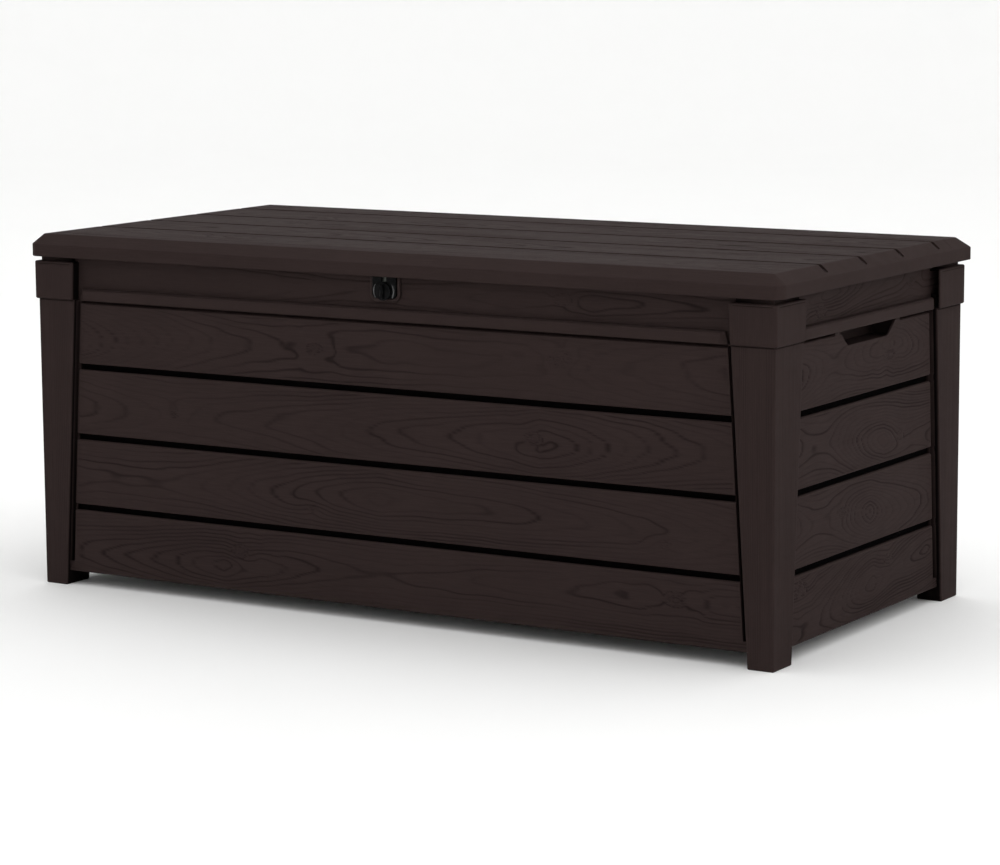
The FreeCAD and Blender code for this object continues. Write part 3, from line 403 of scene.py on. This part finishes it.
def soften_edges(bm, width, chosen, angle=22):
    """Round the sharp outer edges that `chosen` accepts, and give them the piece's second material, which on
    boards and legs is a lighter resin as painted highlight.
    """
    edges = [e for e in bm.edges if e.is_manifold and e.is_convex
             and e.calc_face_angle(0.0) > math.radians(angle) and chosen(e)]
    made = bmesh.ops.bevel(bm, geom=edges, offset=width, offset_type="OFFSET", affect="EDGES",
                           segments=2, profile=0.5, material=-1, clamp_overlap=True)
    for face in made["faces"]:
        face.material_index = 1


def cut_across(bm, faces, axis, places):
    """Cut the faces at each place along one axis, halving the list of places each time."""
    if not places or not faces:
        return faces
    middle = len(places) // 2
    at, normal = Vector(), Vector()
    at[axis], normal[axis] = places[middle], 1.0
    edges = {e for f in faces for e in f.edges}
    verts = {v for f in faces for v in f.verts}
    made = bmesh.ops.bisect_plane(bm, geom=faces + list(edges) + list(verts), dist=1e-7, plane_co=at,
                                  plane_no=normal)
    below, above = [], []
    for face in made["geom"]:
        if isinstance(face, bmesh.types.BMFace):
            side = below if face.calc_center_median()[axis] < places[middle] else above
            side.append(face)
    return cut_across(bm, below, axis, places[:middle]) + cut_across(bm, above, axis, places[middle + 1:])


def steps(low, high, gap, tight=(), tight_gap=0.003, tight_reach=0.045):
    """Places from low to high, a gap apart, and closer together near each tight place."""
    places, at = [], low
    while True:
        near = any(abs(at - spot) < tight_reach for spot in tight)
        at += tight_gap if near else gap
        if at > high - gap * 0.3:
            return places
        places.append(at)


def cut_board(bm, faces, along, across, span, knots, row, column, extra=()):
    """Cut one board's faces into a grid; returns all of its small faces."""
    start = min(v.co[along] for f in faces for v in f.verts)
    end = max(v.co[along] for f in faces for v in f.verts)
    columns = steps(start, end, column, [knot[0] for knot in knots])
    columns = sorted(columns + [place for place in extra if start < place < end])
    faces = cut_across(bm, faces, along, columns)
    return cut_across(bm, faces, across, steps(span[0], span[1], row))


class Relief:
    """Boards cut into a piece's mesh, whose grain is pressed in when the mesh is made."""

    def __init__(self, bm, outward):
        self.bm, self.outward = bm, outward
        self.layer = bm.faces.layers.int.new("board")
        self.boards = []

    def add(self, faces, along, across, span, row, column, seed, spacing=KNOT_SPACING, grain=board_grain,
            depth=GRAIN_DEPTH, pitch=GRAIN_PITCH, outward=None, extra=(), swirl=0.0):
        if not faces:
            return
        start = min(v.co[along] for f in faces for v in f.verts)
        end = max(v.co[along] for f in faces for v in f.verts)
        knots = board_knots(seed, start, end, *span, spacing) if grain is board_grain else []
        number = len(self.boards) + 1
        for face in cut_board(self.bm, faces, along, across, span, knots, row, column, extra):
            face[self.layer] = number
        self.boards.append((along, across, span, (start, end), seed, knots, grain, depth, pitch,
                            outward or self.outward, swirl))

    def press(self, mesh):
        """Press every board's grain into the finished mesh and store it as the groove attribute."""
        count = len(mesh.vertices)
        place = np.empty(count * 3)
        mesh.vertices.foreach_get("co", place)
        place = place.reshape(-1, 3)
        board_of_face = np.empty(len(mesh.polygons), dtype=np.int32)
        mesh.attributes["board"].data.foreach_get("value", board_of_face)
        corner_vert = np.empty(len(mesh.loops), dtype=np.int32)
        mesh.loops.foreach_get("vertex_index", corner_vert)
        totals = np.empty(len(mesh.polygons), dtype=np.int32)
        mesh.polygons.foreach_get("loop_total", totals)
        board_of_corner = np.repeat(board_of_face, totals)
        highest, lowest = np.zeros(count, dtype=np.int32), np.full(count, 10 ** 6)
        np.maximum.at(highest, corner_vert, board_of_corner)
        np.minimum.at(lowest, corner_vert, board_of_corner)
        groove = np.zeros(count)
        for number, board in enumerate(self.boards, 1):
            along, across, span, ends, seed, knots, grain, depth, pitch, outward, swirl = board
            chosen = np.nonzero((highest == number) & (lowest == number))[0]
            u, v = place[chosen, along], place[chosen, across]
            value = grain(u, v, seed, knots, span, pitch, swirl)
            rim = np.minimum(np.minimum(u - ends[0], ends[1] - u), np.minimum(v - span[0], span[1] - v))
            value *= smooth(rim, 0.0, 0.003)
            if grain is comb_grain and ends[1] < CAP_Z[1] + 0.001 and ends[0] > CAP_Z[0] - 0.001:
                value = np.maximum(value * 0.7, cap_border(u, v, span))
            groove[chosen] = value
            place[chosen, outward[0]] -= outward[1] * depth * value
        mesh.vertices.foreach_set("co", place.ravel())
        mesh.attributes.new("groove", "FLOAT", "POINT").data.foreach_set("value", groove)
        mesh.attributes.remove(mesh.attributes["board"])


def cap_border(z, across, span):
    """The fine line a little inside the top of each leg cap."""
    from_top = np.abs(CAP_Z[1] - z - BORDER_IN)
    inside = np.minimum(across - span[0], span[1] - across) > BORDER_IN
    return np.where((from_top < BORDER_HALF) & inside, 0.9, 0.0)


def shade_gaps(mesh, depth_of, low, high):
    """Store how deep in a gap each outward vertex lies, as the gap attribute, which the resin turns into
    painted shade.
    """
    count = len(mesh.vertices)
    place, normal = np.empty(count * 3), np.empty(count * 3)
    mesh.vertices.foreach_get("co", place)
    mesh.vertices.foreach_get("normal", normal)
    depth, facing = depth_of(place.reshape(-1, 3), normal.reshape(-1, 3))
    gap = smooth(depth, low, high) * facing
    mesh.attributes.new("gap", "FLOAT", "POINT").data.foreach_set("value", gap)


def finish_piece(bm, name, node, materials, relief=None, gaps=None):
    """Make the mesh, press in its grain, paint shade into its gaps, and put it in the place of its CAD node."""
    mesh = bpy.data.meshes.new(name)
    bm.to_mesh(mesh)
    bm.free()
    if relief is not None:
        relief.press(mesh)
    if gaps is not None:
        shade_gaps(mesh, *gaps)
    for material in materials:
        mesh.materials.append(MATERIALS[material])
    mesh.shade_smooth()
    mesh.set_sharp_from_angle(angle=math.radians(35))
    piece = bpy.data.objects.new(name, mesh)
    bpy.context.scene.collection.objects.link(piece)
    even = piece.modifiers.new("even_shading", "WEIGHTED_NORMAL")
    even.keep_sharp = True
    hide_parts(node)
    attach(piece, BODY_OF[node])


BODY_OF = {node: body for body, nodes in frame["record"]["behaviour"]["bodies"].items() for node in nodes}


def open_leg_gaps(bm, along, outward_axis, sign, floor):
    """Bring the plank ends nearer to the legs, and let the gaps between planks run out into the leg gaps."""
    foot, top = LEG_EDGES[along]
    nearer = LEG_GAP - LEG_GAP_SHOWN[along]
    for v in bm.verts:
        from_leg = foot + (top - foot) * v.co.z / BELT_LOW - abs(v.co[along])
        outside = v.co.z < BELT_LOW and v.co[outward_axis] * sign > floor
        if v.co.z < BELT_LOW and abs(from_leg - LEG_GAP) < ON_LINE:
            v.co[along] += math.copysign(nearer, v.co[along])
        elif outside and abs(from_leg - LEG_GAP - GAP_WALL) < ON_LINE:
            v.co[along] += math.copysign(nearer + GAP_WALL - GAP_WALL_SHOWN, v.co[along])


def make_wall(node, along, outward_axis, sign, row, column, seed, spacing, swirl):
    """A plank wall with rounded plank edges and embossed boards on its outer faces."""
    low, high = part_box(node)
    face = max(abs(low[outward_axis]), abs(high[outward_axis])) - BELT_PROUD
    band = face - BAND_INSET
    bm = merged_copy(node)
    open_leg_gaps(bm, along, outward_axis, sign, face - PLANK_GAP_DEPTH - 0.0004)
    soften_edges(bm, EDGE_ROUND, lambda e: all(v.co[outward_axis] * sign > band - 0.001 for v in e.verts))
    relief = Relief(bm, (outward_axis, sign))
    flat = [f for f in bm.faces if f.normal[outward_axis] * sign > 0.999]
    for board, span in enumerate(WALL_SPANS):
        level = band if board == len(WALL_SPANS) - 1 else face
        faces = []
        for f in flat:
            if f.is_valid and abs(f.calc_center_bounds()[outward_axis] * sign - level) < ON_FACE:
                centre = f.calc_center_bounds()
                if span[0] < centre[Z] < span[1] and abs(centre[along]) < 0.2:
                    faces.append(f)
        relief.add(faces, along, Z, span, row, column, seed + board, spacing,
                   depth=GRAIN_DEPTH * (0.85 + 0.35 * swirl), swirl=swirl)

    # painted shade: deep in the plank gaps, weaker in the groove under the belt, none above the belt
    def gap_depth(place, normal):
        out = place[:, outward_axis] * sign
        share = np.where(place[:, Z] > TOP_PLANK_HIGH, BELT_SHARE, 1.0)
        share = np.where(place[:, Z] > BELT_LOW, 0.0, share)
        return face - out, np.where(normal[:, outward_axis] * sign > 0.05, share, 0.0)

    fibre = "resin_along_x" if along == X else "resin_along_y"
    finish_piece(bm, node + "_planks", node, [fibre, "painted_highlight_edge"], relief=relief, gaps=(gap_depth, *WALL_SHADE))


def make_lid():
    """The lid shell with rounded upper edges and five embossed boards."""
    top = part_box("lid_shell")[1].z
    bm = merged_copy("lid_shell")
    soften_edges(bm, EDGE_ROUND * 1.4, lambda e: all(v.co.z > LID_SKIRT_CLEAR for v in e.verts), angle=30)
    relief = Relief(bm, (Z, 1))
    flat = [f for f in bm.faces if f.normal.z > 0.999 and abs(f.calc_center_bounds().z - top) < ON_FACE]
    for board, span in enumerate(LID_SPANS):
        faces = [f for f in flat if f.is_valid and span[0] < f.calc_center_bounds().y < span[1]]
        relief.add(faces, X, Y, span, *LID_GRID, LID_SEED + board)

    # painted shade deep in the grooves between the lid's boards
    def gap_depth(place, normal):
        below = top - place[:, Z]
        reach_x, reach_y = LID_GROOVE_REACH
        inside = (np.abs(place[:, X]) < reach_x) & (np.abs(place[:, Y]) < reach_y)
        return np.where(inside, below, 0.0), np.where(normal[:, Z] > 0.05, 1.0, 0.0)

    finish_piece(bm, "lid_planks", "lid_shell", ["resin_along_x", "painted_highlight_edge"], relief=relief,
                 gaps=(gap_depth, *LID_SHADE))


def make_leg(node, seed):
    """Tapered leg or cap with rounded edges and fine upright lines on its two outer faces."""
    low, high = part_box(node)
    sx = 1 if low.x > 0 else -1
    sy = 1 if low.y > 0 else -1
    cap = "cap" in node
    bm = merged_copy(node)
    far = (max(abs(low.x), abs(high.x)), max(abs(low.y), abs(high.y)))
    soften_edges(bm, EDGE_ROUND * 0.8, lambda e: all(
        abs(v.co.x) > far[X] - ON_EDGE or abs(v.co.y) > far[Y] - ON_EDGE for v in e.verts))
    for facing, sign, depth_axis, outer in ((X, sx, Y, sy * far[Y]), (Y, sy, X, sx * far[X])):
        flank = [f for f in bm.faces if -f.normal[facing] * sign > 0.5]
        cut_across(bm, flank, depth_axis, sorted(outer - math.copysign(d, outer) for d in FLANK_CUTS))
    relief = Relief(bm, (X, sx))
    for outward_axis, sign, across in ((X, sx, Y), (Y, sy, X)):
        flat = [f for f in bm.faces if f.normal[outward_axis] * sign > 0.999
                and abs(f.calc_center_bounds()[outward_axis] * sign - far[outward_axis]) < 3e-4]
        if not flat:
            continue
        corners = [v.co for f in flat for v in f.verts]
        span = (min(c[across] for c in corners), max(c[across] for c in corners))
        if cap:
            extra = [CAP_Z[1] - BORDER_IN + k * BORDER_HALF for k in BORDER_CUTS]
        else:
            extra = [CAP_Z[0] - below for below in UNDER_CAP_CUTS]
        relief.add(flat, Z, across, span, *LEG_GRID, seed + outward_axis, grain=comb_grain,
                   depth=COMB_DEPTH, pitch=COMB_PITCH, outward=(outward_axis, sign), extra=extra)

    # painted shade: the flanks beside the planks darken inward, and a painted shadow lies on the leg just under
    # its cap
    def flank_depth(place, normal):
        inward = np.minimum(far[X] - np.abs(place[:, X]), far[Y] - np.abs(place[:, Y]))
        beside = np.maximum(-normal[:, X] * sx, -normal[:, Y] * sy) > 0.5
        above = place[:, Z] - CAP_Z[0]
        under_cap = (above > -CAP_SHADE_REACH[0]) & (above < CAP_SHADE_REACH[1]) & (not cap)
        depth = np.where(beside, inward, np.where(under_cap, 1.0, 0.0))
        return depth, np.where(beside, FLANK_SHARE, CAP_SHARE)

    finish_piece(bm, node + "_moulding", node, ["resin_along_z", "painted_highlight_edge"], relief=relief,
                 gaps=(flank_depth, *LEG_SHADE))


for wall in WALLS:
    make_wall(*wall)
make_lid()
for number, (end, side) in enumerate((e, s) for e in ("front", "back") for s in ("left", "right")):
    make_leg(f"leg_{end}_{side}", LEG_SEED + LEG_SEED_STEP * number)
    make_leg(f"leg_cap_{end}_{side}", CAP_SEED + LEG_SEED_STEP * number)


# ---- small fittings, with their edges rounded ----
def make_fitting(node, width, material=None):
    """A fitting of the CAD's own shape with all its sharp edges rounded."""
    bm = merged_copy(node)
    soften_edges(bm, width, lambda e: True, angle=30)
    slot_material = material or SLOT_OF[node]
    finish_piece(bm, node + "_rounded", node, [slot_material, slot_material])


def make_dial_arcs():
    """Raised crescents on the latch housing, to the left and right of the knob."""
    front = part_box("latch_housing")[0].y
    knob_low, knob_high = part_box("latch_knob")
    centre_z = (knob_low.z + knob_high.z) / 2
    bm = bmesh.new()
    ring_r, half_width, proud, sweep, count = 0.0190, 0.0013, 0.0011, math.radians(74), 25
    profile = [(-half_width, 0.0006), (-half_width * 0.6, -proud * 0.75), (0, -proud),
               (half_width * 0.6, -proud * 0.75), (half_width, 0.0006)]
    for turn in (0.0, math.pi):
        start = turn - sweep / 2
        rings = []
        for i in range(count):
            angle, thin = start + sweep * i / (count - 1), math.sin(math.pi * (i + 0.5) / count) ** 0.5
            ring = []
            for across, out in profile:
                radius = ring_r + across * thin
                ring.append(bm.verts.new((radius * math.cos(angle), front + out * thin,
                                          centre_z + radius * math.sin(angle))))
            rings.append(ring)
        for before, after in zip(rings, rings[1:]):
            for i in range(len(profile) - 1):
                bm.faces.new((before[i], before[i + 1], after[i + 1], after[i]))
        for end in (rings[0], rings[-1]):
            bm.faces.new(end)
    bmesh.ops.recalc_face_normals(bm, faces=bm.faces)
    mesh = bpy.data.meshes.new("latch_dial_arcs")
    bm.to_mesh(mesh)
    bm.free()
    mesh.materials.append(MATERIALS["black_arcs"])
    mesh.shade_smooth()
    arcs = bpy.data.objects.new("latch_dial_arcs", mesh)
    bpy.context.scene.collection.objects.link(arcs)
    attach(arcs, BODY_OF["latch_housing"])


make_fitting("latch_bezel", 0.0006, "bezel")
make_fitting("latch_housing", 0.0005)
make_fitting("latch_knob", 0.0004)
make_fitting("lid_hasp", 0.0003, "dark_zinc")
make_dial_arcs()
for side in ("left", "right"):
    make_fitting(f"handle_cup_{side}", 0.0008)
    make_fitting(f"strut_wall_bracket_{side}", 0.0004)
    make_fitting(f"strut_lid_bracket_{side}", 0.0004)
    make_fitting(f"floor_{side}", 0.0005)
for place in ("left", "centre", "right"):
    make_fitting(f"hinge_leaf_wall_{place}", 0.0004)
    make_fitting(f"hinge_leaf_lid_{place}", 0.0004)


# ---- the studio's pieces ----
def make_stage():
    """Pale floor that curves up into a backdrop all round."""
    bm = bmesh.new()
    profile = [Vector((0.001, 0, 0)), Vector((STAGE_FLAT, 0, 0))]
    profile += [Vector((STAGE_FLAT + STAGE_CURVE * math.sin(a), 0, STAGE_CURVE * (1 - math.cos(a))))
                for a in (math.pi / 16 * i for i in range(1, 9))]
    profile.append(Vector((STAGE_FLAT + STAGE_CURVE, 0, STAGE_RISE)))
    verts = [bm.verts.new(p) for p in profile]
    edges = [bm.edges.new(pair) for pair in zip(verts, verts[1:])]
    bmesh.ops.spin(bm, geom=verts + edges, cent=(0, 0, 0), axis=(0, 0, 1), angle=math.tau, steps=96,
                   use_merge=True)
    bmesh.ops.remove_doubles(bm, verts=bm.verts, dist=0.002)
    bmesh.ops.recalc_face_normals(bm, faces=bm.faces)
    mesh = bpy.data.meshes.new("studio_floor")
    bm.to_mesh(mesh)
    bm.free()
    for face in mesh.polygons:
        face.use_smooth = True
    floor = bpy.data.objects.new("studio_floor", mesh)
    bpy.context.scene.collection.objects.link(floor)
    material, g, shader, place = new_material("studio_floor_paint")
    tone = g.noise(place.outputs["Object"], 3.0, 4.0, 0.6)
    low = tuple(c * 0.985 for c in FLOOR[:3]) + (1,)
    g.feed(shader, "Base Color", g.mix(tone, low, FLOOR))
    g.feed(shader, "Roughness", g.ramp(tone, 0.2, 0.8, 0.82, 0.92))
    mesh.materials.append(material)


def area_light(name, at, size, power):
    light = bpy.data.lights.new(name, "AREA")
    light.shape, light.size, light.size_y, light.energy = "RECTANGLE", size[0], size[1], power
    lamp = bpy.data.objects.new(name, light)
    lamp.location = at
    lamp.rotation_euler = (Vector(SOFTBOX_TARGET) - Vector(at)).to_track_quat("-Z", "Y").to_euler()
    bpy.context.scene.collection.objects.link(lamp)


def make_lights():
    for softbox in SOFTBOXES:
        area_light(*softbox)
    world = bpy.data.worlds.new("studio_air")
    world.use_nodes = True
    background = world.node_tree.nodes["Background"]
    background.inputs["Color"].default_value = (1.0, 1.0, 1.0, 1)
    background.inputs["Strength"].default_value = WORLD_STRENGTH
    bpy.context.scene.world = world
    bpy.context.scene.view_settings.view_transform = "Standard"


def make_camera():
    """A long lens at the front right, a little above the lid, turned a third of a degree."""
    camera = bpy.data.objects.new("camera", bpy.data.cameras.new("camera"))
    camera.data.lens, camera.data.sensor_width = CAMERA_LENS, SENSOR_WIDTH
    yaw, pitch, roll = (math.radians(turn) for turn in CAMERA_TURN)
    aim = Matrix.Rotation(yaw, 4, "Z") @ Matrix.Rotation(math.pi / 2 - pitch, 4, "X")
    camera.matrix_world = Matrix.Translation(CAMERA_PLACE) @ aim @ Matrix.Rotation(roll, 4, "Z")
    bpy.context.scene.collection.objects.link(camera)
    bpy.context.scene.camera = camera


make_stage()
make_lights()
make_camera()
